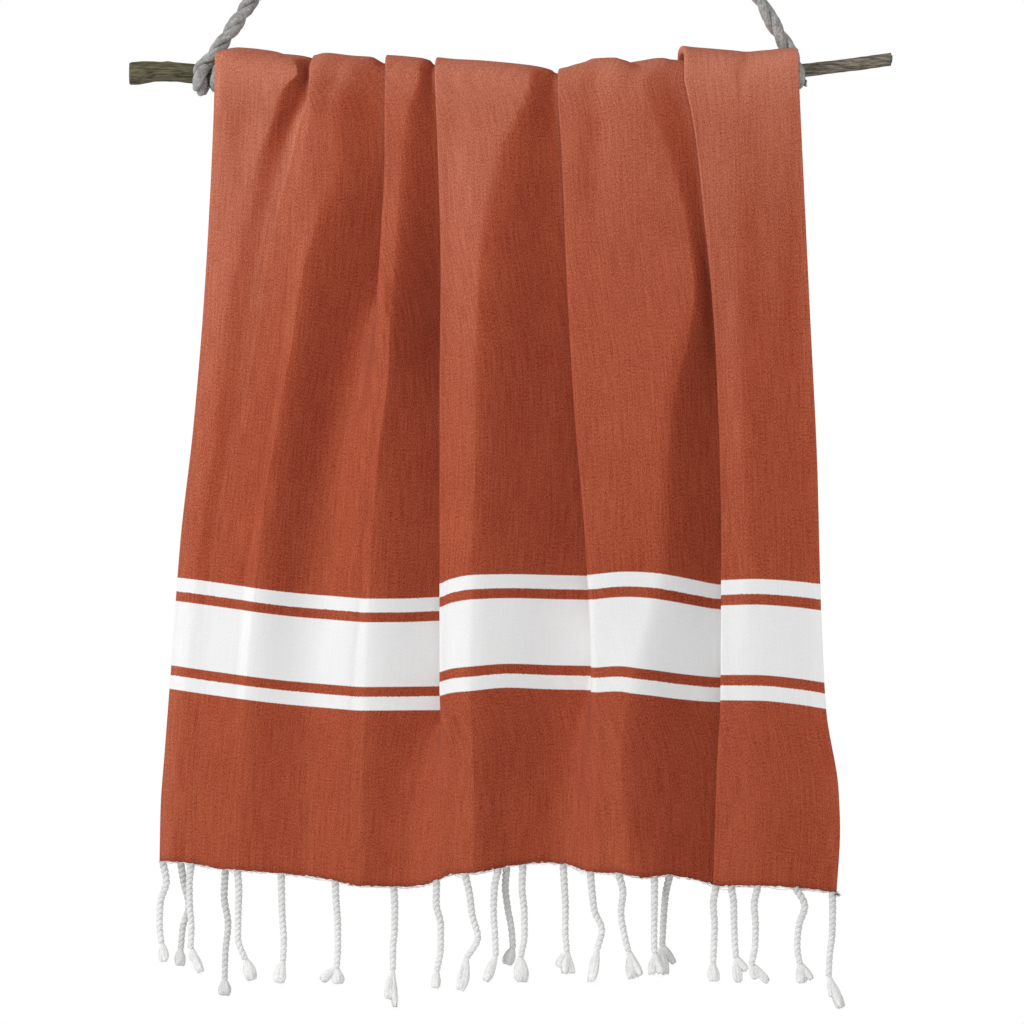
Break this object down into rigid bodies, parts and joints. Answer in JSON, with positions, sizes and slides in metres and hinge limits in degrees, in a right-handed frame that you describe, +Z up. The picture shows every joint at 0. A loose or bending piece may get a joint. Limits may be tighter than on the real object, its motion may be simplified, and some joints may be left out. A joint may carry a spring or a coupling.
{
  "type": "hammam towel on branch rod",
  "caption": "Striped flat-woven hammam towel with twisted fringes, draped in uneven pleats over a rough branch rod that hangs from two ropes.",
  "frame": {"origin": "the point where the left rope's eye bears on what holds it, inside the eye at its top", "axes": "+Z up, +X to the right as the towel's front is seen, +Y away from the viewer, from the towel's front to its back"},
  "size_m": [0.856, 0.0932, 1.2251],
  "materials": {
    "cloth": "rust and off-white flat weave with woven stripes",
    "fringe": "off-white twisted cotton",
    "branch": "rough bark, dry",
    "rope": "grey twisted cotton"
  },
  "bodies": {
    "root": {"towel": "cloth", "front_fringe": "fringe", "back_fringe": "fringe", "rod": "branch", "rope_left": "rope", "rope_right": "rope"}
  },
  "joints": []
}
